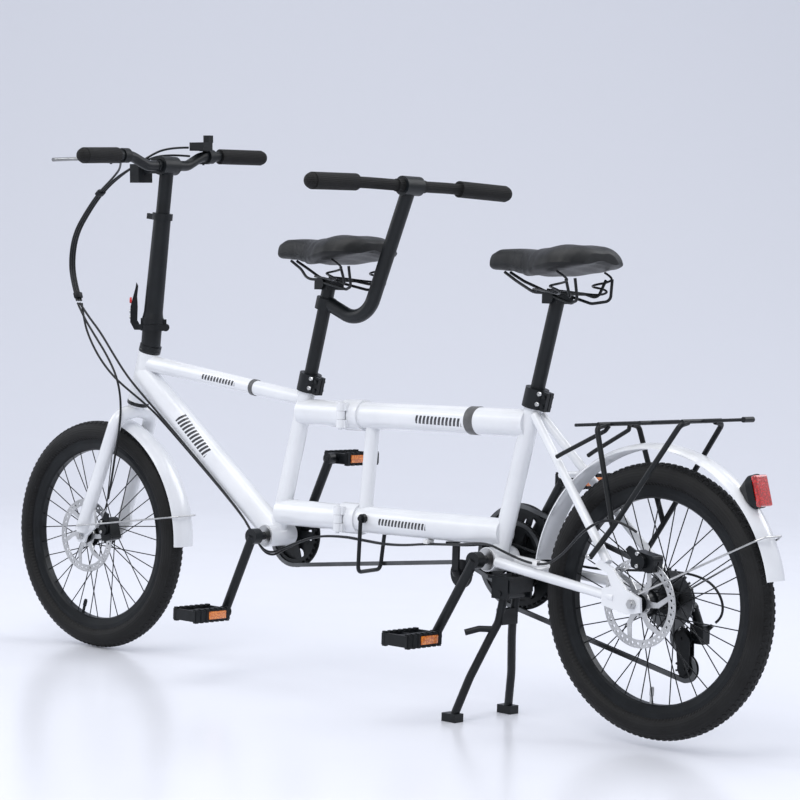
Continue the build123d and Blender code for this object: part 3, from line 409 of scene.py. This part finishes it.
redPlastic.set(Base_Color=redPlastic.ramp(redCloud, (0.3, (0.45, 0.01, 0.01, 1)), (0.7, (0.65, 0.02, 0.02, 1))))
print("finishes made")

finishOf = {
    framePaint: "front_frame rear_frame", whitePaint: "fork front_fender rear_fender",
    blackCoat: "stem_base stem_post bar_post front_seatpost rear_seatpost stoker_stem centre_stand luggage_rack "
               "fold_stand brackets front_seat_clamp rear_seat_clamp handlebar front_crankset rear_crankset",
    blackAnodised: "front_hub rear_hub front_rim rear_rim front_caliper rear_caliper derailleur stem_latch",
    leverAlloy: "left_brake_lever right_brake_lever",
    brushedSteel: "front_axle rear_axle front_fender_stays rear_fender_stays upper_latch lower_latch",
    darkSteel: "timing_chain drive_chain freewheel",
    blackPlastic: "bar_controls front_left_pedal front_right_pedal rear_left_pedal rear_right_pedal idler "
                  "upper_pulley lower_pulley tail_reflector",
    studdedRubber: "bar_grips stoker_bar"}
for finish, names in finishOf.items():
    for name in names.split():
        nodes[name].data.materials.clear()
        nodes[name].data.materials.append(finish.material)
for end in ("front", "rear"):
    rotorSteel = steel(end + "_rotor_steel", 0.58, 0.26, centre=middle(end + "_rotor"),
                       turn=radians(-steering["turn"]) if end == "front" else 0.0)
    nodes[end + "_rotor"].data.materials.clear()
    nodes[end + "_rotor"].data.materials.append(rotorSteel.material)
print("frame parts finished")


tie = Vector((-0.808, -0.055, 0.761))
bow = [(-0.707, -0.046, 1.029), (-0.755, -0.047, 0.996), (-0.797, -0.048, 0.953), (-0.830, -0.050, 0.909),
       (-0.840, -0.052, 0.858), (-0.832, -0.054, 0.808), tuple(tie)]
belowTie = tie + Vector((0.0023, 0, -0.0045))


def aside(points, across, rise=0.0):
    return [(x, y + across, z + rise) for x, y, z in points]


underTube = [(-0.306, -0.031, 0.343), (-0.272, -0.028, 0.300), (-0.229, -0.024, 0.256)]
toHinge = [(-0.170, -0.018, 0.282), (-0.112, -0.011, 0.304), (-0.058, -0.007, 0.311),
           (-0.018, -0.006, 0.311)]
runBack = [(-0.016, -0.006, 0.311), (0.030, -0.007, 0.309), (0.084, -0.009, 0.307), (0.140, -0.010, 0.310),
           (0.196, -0.012, 0.318), (0.250, -0.014, 0.322)]
cables = {
    "left_brake_cable": ("handlebar", "loop_cables", 0.430,
                         [(-0.628, -0.102, 1.068), (-0.664, -0.066, 1.052)] + aside(bow, -0.006)),
    "right_brake_cable": ("handlebar", "loop_cables", 0.501,
                          [(-0.624, 0.092, 1.082), (-0.644, 0.044, 1.084), (-0.666, 0, 1.069)] + bow),
    "shift_cable": ("handlebar", "loop_cables", 0.498,
                    [(-0.620, 0.084, 1.100), (-0.640, 0.040, 1.098), (-0.664, 0.004, 1.075)]
                    + aside(bow, 0.006)),
    "front_brake_hose": ("fork", "fork_cable", 0.474, [
        tuple(belowTie + Vector((0, -0.006, 0))), (-0.784, -0.062, 0.728), (-0.749, -0.060, 0.690),
        (-0.706, -0.058, 0.646), (-0.672, -0.056, 0.598), (-0.659, -0.055, 0.544), (-0.664, -0.054, 0.487),
        (-0.677, -0.053, 0.435), (-0.686, -0.053, 0.382), (-0.698, -0.052, 0.336)]),
    "inner_frame_cable": ("front_frame", "frame_cables", 0.982, [
        tuple(belowTie), (-0.779, -0.052, 0.728), (-0.743, -0.048, 0.696), (-0.700, -0.045, 0.648),
        (-0.658, -0.042, 0.604), (-0.612, -0.037, 0.566), (-0.562, -0.032, 0.527)] + underTube + toHinge),
    "outer_frame_cable": ("front_frame", "frame_cables", 1.001, [
        tuple(belowTie + Vector((0, 0.006, 0))), (-0.797, -0.049, 0.716), (-0.774, -0.049, 0.676),
        (-0.738, -0.050, 0.636), (-0.694, -0.048, 0.600), (-0.648, -0.042, 0.572), (-0.604, -0.034, 0.546),
        (-0.562, -0.027, 0.517)] + aside(underTube, 0.006, -0.007) + aside(toHinge, 0.006)),
    "rear_brake_cable": ("rear_frame", "rear_cables", 0.823, runBack + [
        (0.300, -0.020, 0.327), (0.340, -0.027, 0.334), (0.380, -0.033, 0.336), (0.424, -0.038, 0.325),
        (0.468, -0.043, 0.315), (0.510, -0.049, 0.311), (0.556, -0.064, 0.318), (0.604, -0.082, 0.344),
        (0.646, -0.092, 0.382), (0.690, -0.092, 0.410), (0.733, -0.084, 0.412), (0.760, -0.074, 0.394)]),
    "derailleur_cable": ("rear_frame", "rear_cables", 0.924, aside(runBack, 0.006) + [
        (0.296, 0.008, 0.323), (0.334, 0.025, 0.330), (0.376, 0.033, 0.334), (0.420, 0.038, 0.324),
        (0.468, 0.040, 0.314), (0.520, 0.043, 0.307), (0.572, 0.049, 0.303), (0.622, 0.066, 0.305),
        (0.668, 0.086, 0.307), (0.718, 0.092, 0.310), (0.768, 0.092, 0.309), (0.808, 0.092, 0.297),
        (0.832, 0.092, 0.268), (0.832, 0.091, 0.238), (0.820, 0.088, 0.228)])}
for name, (body, node, length, points) in cables.items():
    line = bpy.data.curves.new(name, "CURVE")
    line.dimensions = "3D"
    line.bevel_depth = 0.0024
    line.bevel_resolution = 4
    line.resolution_u = 12
    line.use_fill_caps = True
    run = line.splines.new("NURBS")
    run.points.add(len(points) - 1)
    for spot, point in zip(run.points, points):
        spot.co = (*point, 1)
    run.order_u = 3
    run.use_endpoint_u = True
    cable = bpy.data.objects.new(name, line)
    bpy.context.collection.objects.link(cable)
    line.materials.append(cableCover.material)
    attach(cable, body)
    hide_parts(node)
for number, (spot, way) in enumerate((((-0.755, -0.047, 0.996), (-0.8, 0, -0.6)),
                                      (tie + Vector((-0.004, 0, 0.012)), (0.35, 0, -0.93)))):
    clip = turned([(-0.006, 0.0108), (-0.005, 0.0116), (0.005, 0.0116), (0.006, 0.0108)], 24)
    clip.data.transform(Matrix.Diagonal((0.55, 1, 1, 1)))
    done(put(clip, spot, way), f"cable_tie_{number + 1}", blackPlastic, "handlebar")
print("cables laid")


saddleShape = {"length": 0.262, "rings": 46, "around": 40,
               "halfWidth": ((0, 0.010), (0.006, 0.017), (0.020, 0.022), (0.060, 0.0265), (0.095, 0.036),
                             (0.125, 0.054), (0.155, 0.077), (0.185, 0.093), (0.212, 0.0985), (0.236, 0.093),
                             (0.252, 0.077), (0.262, 0.050)),
               "top": ((0, 0.072), (0.008, 0.086), (0.030, 0.0935), (0.075, 0.0950), (0.120, 0.0935),
                       (0.160, 0.0980), (0.212, 0.105), (0.240, 0.1030), (0.256, 0.097), (0.262, 0.090)),
               "bottom": ((0, 0.060), (0.010, 0.054), (0.060, 0.0520), (0.090, 0.046), (0.115, 0.0385),
                          (0.150, 0.0390), (0.190, 0.046), (0.225, 0.053), (0.250, 0.058), (0.262, 0.064))}


def between(table, at):
    for (low, first), (high, last) in zip(table, table[1:]):
        if at <= high:
            share = (at - low) / (high - low)
            share = share * share * (3 - 2 * share) if high - low > 0.02 else share
            return first + (last - first) * share
    return table[-1][1]


def makeSaddle(name, node, body):
    low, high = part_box(node)
    start = Vector((low.x - 0.001, 0, high.z - 0.104))
    shape = saddleShape
    letGo()
    bpy.ops.mesh.primitive_cylinder_add(vertices=shape["around"], radius=1, depth=1, end_fill_type="TRIFAN")
    piece = bpy.context.active_object
    edit("EDGE", "DESELECT")
    bpy.ops.object.mode_set(mode="OBJECT")
    for edge in piece.data.edges:
        first, last = (piece.data.vertices[n].co for n in edge.vertices)
        edge.select = abs(first.z - last.z) > 0.9
    bpy.ops.object.mode_set(mode="EDIT")
    bpy.ops.mesh.subdivide(number_cuts=shape["rings"], quadcorner="INNERVERT")
    bpy.ops.object.mode_set(mode="OBJECT")
    for vertex in piece.data.vertices:
        x, y, z = vertex.co
        share = z + 0.5
        at = shape["length"] * (0.5 - 0.5 * cos(pi * share))
        wide, top, bottom = (between(shape[key], at) for key in ("halfWidth", "top", "bottom"))
        reach = (x * x + y * y) ** 0.5
        if reach < 0.01:
            vertex.co = start + Vector((at, 0, (top + bottom) / 2))
            continue
        across = abs(x) ** 0.62 * (1 if x > 0 else -1)
        up = abs(y) ** 0.70 * (1 if y > 0 else -1)
        middleHeight = bottom + (top - bottom) * 0.34
        rise = (top - middleHeight) * up if up > 0 else (middleHeight - bottom) * up
        if up > 0:
            back = max(0.0, min(1.0, (at - 0.10) / 0.08))
            rise -= 0.010 * abs(across) ** 3 * back
            rise -= 0.003 * exp(-(across * wide / 0.012) ** 2) * back
        else:
            rise += 0.012 * (1 - abs(across)) * max(0.0, min(1.0, (at - 0.08) / 0.05))
        vertex.co = start + Vector((at, across * wide, middleHeight + rise))
    modify(piece, "SUBSURF", levels=1, render_levels=1)
    piece = done(piece, name, saddleLeather, body, 70)
    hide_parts(node)
    seamLine = []
    for side in (-1, 1):
        places = [shape["length"] * (0.03 + 0.94 * n / 25) for n in range(26)]
        places = places if side < 0 else places[::-1]
        for at in places:
            wide = between(shape["halfWidth"], at)
            low, high = between(shape["bottom"], at), between(shape["top"], at)
            seamLine.append(start + Vector((at, side * wide * 0.985, low + (high - low) * 0.30)))
    seam = done(wire(seamLine + seamLine[:1], 0.0011, 2), name + "_seam", blackPlastic, body, 60)
    # curled wire springs under the wings
    for side in (-1, 1):
        spring = [(0.118, 0.020, 0.020), (0.150, 0.030, 0.018), (0.186, 0.044, 0.014), (0.214, 0.058, 0.012),
                  (0.224, 0.070, 0.018), (0.208, 0.074, 0.024), (0.190, 0.062, 0.027), (0.204, 0.052, 0.031),
                  (0.232, 0.058, 0.036), (0.236, 0.070, 0.044), (0.214, 0.070, 0.054)]
        done(wire([start + Vector((x, side * y, z)) for x, y, z in spring], 0.0022),
             f"{name}_spring_{side + 2}", blackGloss, body)
    return piece


makeSaddle("front_saddle_pad", "front_saddle", "front_seat")
makeSaddle("rear_saddle_pad", "rear_saddle", "rear_seat")
print("saddles made")


tyreShape = {"blocks": 116, "rows": ((0.0, 1.0), (0.0125, 0.5), (-0.0125, 0.5))}
for end, valveFinish in (("front", blackPlastic), ("rear", brass)):
    node = end + "_tyre"
    low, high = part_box(node)
    centre = (low + high) / 2
    turn = steering["turn"] if end == "front" else 0.0
    reach = (high.z - low.z) / 2
    section = 0.0245
    rubberFinish = tyreRubber(end + "_tyre_rubber", centre, turn)
    letGo()
    bpy.ops.mesh.primitive_torus_add(major_radius=reach - section - 0.0016, minor_radius=section - 0.0002,
                                     major_segments=168, minor_segments=36, rotation=(pi / 2, 0, 0))
    tyre = bpy.context.active_object
    bpy.ops.object.transform_apply(location=True, rotation=True, scale=True)
    for vertex in tyre.data.vertices:    # the inner side is pinched to the rim
        x, y, z = vertex.co
        far = (x * x + z * z) ** 0.5
        if far < reach - 0.034:
            squeeze = min(1.0, (reach - 0.034 - far) / 0.012)
            vertex.co.y = y * (1 - 0.45 * squeeze)
            keep = max(far, 0.2045) / far
            vertex.co.x, vertex.co.z = x * keep, z * keep
    letGo()
    bpy.ops.mesh.primitive_cube_add(size=1)
    block = bpy.context.active_object
    block.scale = (0.0082, 0.0084, 0.0028)
    bpy.ops.object.transform_apply(location=True, rotation=True, scale=True)
    edit("FACE", "DESELECT")
    bpy.ops.object.mode_set(mode="OBJECT")
    for face in block.data.polygons:
        face.select = face.normal.z > 0.9
    bpy.ops.object.mode_set(mode="EDIT")
    bpy.ops.transform.resize(value=(0.78, 0.78, 1))
    bpy.ops.object.mode_set(mode="OBJECT")
    treads = []
    for across, shift in tyreShape["rows"]:
        lean = across / (section * 0.98)
        for number in range(tyreShape["blocks"]):
            around = 2 * pi * (number + shift) / tyreShape["blocks"]
            treads.append(copyOf(block, Matrix.Rotation(around, 4, "Y")
                                 @ Matrix.Translation((0, 0, reach - section - 0.0016))
                                 @ Matrix.Rotation(-lean, 4, "X")
                                 @ Matrix.Translation((0, 0, section - 0.0006))))
    bpy.data.objects.remove(block)
    tyre = join([tyre] + treads)
    tyre.data.transform(Matrix.Translation(centre) @ Matrix.Rotation(radians(turn), 4, steering["along"]))
    tyre = done(tyre, end + "_tyre_cover", rubberFinish, end + "_wheel", 50)
    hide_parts(node)
    stem = turned([(0, 0.0042), (0.004, 0.0042), (0.006, 0.0032), (0.024, 0.0032), (0.025, 0.0042),
                   (0.036, 0.0042), (0.040, 0.0030)], 20)
    valveAngle = radians(-164 if end == "front" else -178)
    away = Vector((sin(valveAngle), 0, cos(valveAngle)))
    spot = centre + (steeredWay(away) if end == "front" else away) * 0.195
    done(put(stem, spot, centre - spot), end + "_valve", valveFinish, end + "_wheel")
print("tyres made")


def bolt(name, at, along, body, radius=0.0045, rise=0.004, finish=None, socket=True):
    # a domed cap screw with a six-sided socket
    letGo()
    bpy.ops.mesh.primitive_cylinder_add(vertices=24, radius=radius, depth=rise, location=(0, 0, rise / 2))
    piece = bpy.context.active_object
    bpy.ops.object.transform_apply(location=True, rotation=True, scale=True)
    edit("FACE", "DESELECT")
    bpy.ops.object.mode_set(mode="OBJECT")
    for face in piece.data.polygons:
        face.select = face.normal.z > 0.9
    bpy.ops.object.mode_set(mode="EDIT")
    bpy.ops.mesh.extrude_region_move(TRANSFORM_OT_translate={"value": (0, 0, rise * 0.22)})
    bpy.ops.transform.resize(value=(0.82, 0.82, 1))
    if socket:
        bpy.ops.mesh.inset(thickness=radius * 0.34)
        bpy.ops.mesh.extrude_region_move(TRANSFORM_OT_translate={"value": (0, 0, -rise * 0.6)})
    bpy.ops.object.mode_set(mode="OBJECT")
    return done(put(piece, at, along), name, finish or boltSteel, body, 30)


def band(name, at, along, radius, width, finish, body, thick=0.0011):
    ring = turned([(-width / 2, radius + thick * 0.5), (-width / 2 + 0.0008, radius + thick),
                   (width / 2 - 0.0008, radius + thick), (width / 2, radius + thick * 0.5)], 48)
    return done(put(ring, at, along), name, finish, body)


topSlope = Vector((0.488, 0, -0.053)).normalized()
band("top_tube_band", (-0.302, 0, 0.5963), topSlope, 0.0158, 0.011, greyBand, "front_frame", 0.0012)
band("main_tube_band", (0.310, 0, 0.5636), (1, 0, 0.0227), 0.0265, 0.022, greyBand, "rear_frame", 0.0009)

# headset races, bottom bracket cups and crank bolts
headFoot = steering["head"] - steering["along"] * 0.113
band("upper_race", steering["head"] + steering["along"] * 0.003, steering["along"], 0.0226, 0.008,
     blackGloss, "front_frame")
band("lower_race", headFoot - steering["along"] * 0.003, steering["along"], 0.0226, 0.008, blackGloss,
     "front_frame")
for end, centre in (("front", Vector((-0.224, 0, 0.298))), ("rear", Vector((0.377, 0, 0.3067)))):
    for side, word in ((-1, "left"), (1, "right")):
        bolt(f"{end}_{word}_crank_bolt", centre + Vector((0, side * 0.067, 0)), (0, side, 0),
             end + "_cranks", 0.008, 0.004, blackGloss)
    band(f"{end}_bottom_bracket_cup", centre - Vector((0, 0.0365, 0)), (0, 1, 0), 0.0200, 0.004, brushedSteel,
         end + "_frame")

# clamp bolts
for end in ("front", "rear"):
    low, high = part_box(end + "_seat_clamp")
    for step in (-1, 1):
        spot = Vector((high.x - 0.011 + step * 0.0025, low.y - 0.0002, (low.z + high.z) / 2 + step * 0.0095))
        bolt(f"{end}_seat_clamp_bolt_{step + 2}", spot, (0, -1, 0), end + "_frame", 0.0042, 0.003)

low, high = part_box("stem_latch")
centre = (low + high) / 2
hingeSide = Vector((0.7071, 0.7071, 0))
for step, (rise, finish, size) in enumerate(((0.012, redPlastic, 0.0065), (-0.012, boltSteel, 0.004),
                                             (-0.024, boltSteel, 0.004))):
    spot = centre + Vector((-0.004, -0.008, rise))
    bolt(f"stem_latch_stud_{step + 1}", spot, steeredWay(-hingeSide), "stem_latch", size, 0.004, finish,
         step == 2)

for line, height in (("upper", 0.556), ("lower", 0.344)):
    for step in (-1, 1):
        bolt(f"{line}_latch_rivet_{step + 2}", (-0.026, 0.040, height + step * 0.0150), (0, 0, step),
             line + "_latch", 0.0036, 0.002, boltSteel, False)

# marks for the bar height
postWay = steeredWay((0.1132, 0, 0.9936))
postFoot = steered((-0.5990, 0, 0.965))
for step in range(7):
    tick = slab((0.0006, 0.009 if step % 2 else 0.014, 0.0014), 0.0002, 1)
    spot = postFoot + postWay * (0.009 * step) + steeredWay((0, -0.0141, 0)).normalized() * 0.0006
    done(put(tick, spot + steeredWay((0, -0.0135, 0)), steeredWay((0, -1, 0)), 90),
         f"height_mark_{step + 1}", whitePlastic, "handlebar")

# axle nuts
for node, body, radius in (("front_axle", "fork", 0.0085), ("rear_axle", "rear_frame", 0.0090)):
    low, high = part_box(node)
    centre = (low + high) / 2
    way = steeredWay((0, 1, 0)) if node == "front_axle" else Vector((0, 1, 0))
    half = (high.y - low.y) / 2
    for side, word in ((-1, "left"), (1, "right")):
        nut = turned([(-0.006, radius), (-0.001, radius * 1.04), (0.0, radius * 0.92)], 6)
        done(put(nut, centre + way * side * (half - 0.004), way * side), f"{node}_{word}_nut", brushedSteel,
             body, 25)

# pedal reflectors: two on each pedal, in its front and back plates
for end in ("front", "rear"):
    for word, side in (("left", -1), ("right", 1)):
        node = f"{end}_{word}_pedal"
        low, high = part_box(node)
        centre = (low + high) / 2
        for face, way in (("front", -1), ("back", 1)):
            plate = slab((0.046, 0.016, 0.005), 0.0012)
            edge = low.x if way < 0 else high.x
            done(put(plate, (edge - way * 0.0008, centre.y, centre.z), (way, 0, 0), 90),
                 f"{node}_{face}_reflector", amberLens, node)

# tail reflector lens
low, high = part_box("tail_reflector")
centre = (low + high) / 2
lensWay = Vector((cos(radians(16)), 0, sin(radians(16))))
glass = slab((0.056, 0.038, 0.010), 0.0042, 4)
done(put(glass, Vector((high.x - 0.0045, 0, centre.z + 0.002)), lensWay), "tail_lens", redLens,
     "rear_frame")

# cable clips
for name, at, size in (("tube_clip", (0.205, -0.010, 0.3235), (0.012, 0.020, 0.008)),
                       ("chainstay_clip", (0.510, -0.049, 0.3135), (0.012, 0.010, 0.010))):
    clip = slab(size, 0.0018)
    done(put(clip, at), name, whitePlastic, "rear_frame")

# guard and rack screws
for step, side in enumerate((-1, 1)):
    bolt(f"rack_bolt_{step + 1}", (0.662, side * 0.0865, 0.342), (0, side, 0), "rear_frame", 0.0045, 0.003)
for end in ("front", "rear"):
    low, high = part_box(end + "_caliper")
    centre = (low + high) / 2
    body = "fork" if end == "front" else "rear_frame"
    for step in (-1, 1):
        bolt(f"{end}_caliper_bolt_{step + 2}", (centre.x, low.y + 0.0004, centre.z + step * 0.011), (0, -1, 0),
             body, 0.0036, 0.003)
print("fittings made")


studio = {"floor": (0.77, 0.785, 0.84), "turn": radians(43.131), "width": 24, "depth": 16, "height": 9,
          "bend": 4.0}
backEdge = studio["depth"] / 2 - 0.1
letGo()
bpy.ops.mesh.primitive_plane_add(size=1)
sweep = bpy.context.active_object
sweep.name = "studio_sweep"
sweep.data.transform(Matrix.Diagonal((studio["width"], studio["depth"], 1, 1)))
edit("EDGE", "DESELECT")
bpy.ops.object.mode_set(mode="OBJECT")
for edge in sweep.data.edges:
    edge.select = all(sweep.data.vertices[n].co.y > backEdge for n in edge.vertices)
bpy.ops.object.mode_set(mode="EDIT")
bpy.ops.mesh.extrude_region_move(TRANSFORM_OT_translate={"value": (0, 0, studio["height"])})
bpy.ops.object.mode_set(mode="OBJECT")
for edge in sweep.data.edges:
    edge.select = all(sweep.data.vertices[n].co.y > backEdge and abs(sweep.data.vertices[n].co.z) < 0.01
                      for n in edge.vertices)
bpy.ops.object.mode_set(mode="EDIT")
bpy.ops.mesh.bevel(offset=studio["bend"], segments=24, profile=0.5, affect="EDGES")
bpy.ops.object.mode_set(mode="OBJECT")
bpy.ops.object.shade_smooth()
sweep.data.transform(Matrix.Rotation(studio["turn"], 4, "Z"))
sweepFinish = Finish("studio_sweep", Roughness=0.3, Specular_IOR_Level=0.35)
sweepFinish.set(Base_Color=(*studio["floor"], 1),
                Roughness=sweepFinish.noise(sweepFinish.place(), 3, 3) * 0.06 + 0.2)
sweep.data.materials.append(sweepFinish.material)

world = bpy.data.worlds.new("studio")
bpy.context.scene.world = world
world.use_nodes = True
world.node_tree.nodes["Background"].inputs["Color"].default_value = (0.82, 0.85, 0.93, 1)
world.node_tree.nodes["Background"].inputs["Strength"].default_value = 0.75
for name, place, size, power, tint in (("key", (1.6, -4.2, 4.6), 3.2, 150, (1, 0.985, 0.97)),
                                       ("fill", (-4.6, -2.2, 2.6), 3.0, 60, (0.95, 0.97, 1)),
                                       ("rim", (2.0, 4.2, 3.6), 3.0, 90, (0.97, 0.98, 1)),
                                       ("top", (0.0, 0.0, 5.2), 4.0, 110, (1, 1, 1))):
    lamp = bpy.data.lights.new(name, "AREA")
    lamp.energy, lamp.size, lamp.color = power, size, tint
    holder = bpy.data.objects.new(name, lamp)
    bpy.context.collection.objects.link(holder)
    holder.location = place
    holder.rotation_euler = (Vector((0, 0, 0.45)) - Vector(place)).to_track_quat("-Z", "Y").to_euler()
bpy.context.scene.view_settings.view_transform = "Standard"
print("studio ready")

letGo()
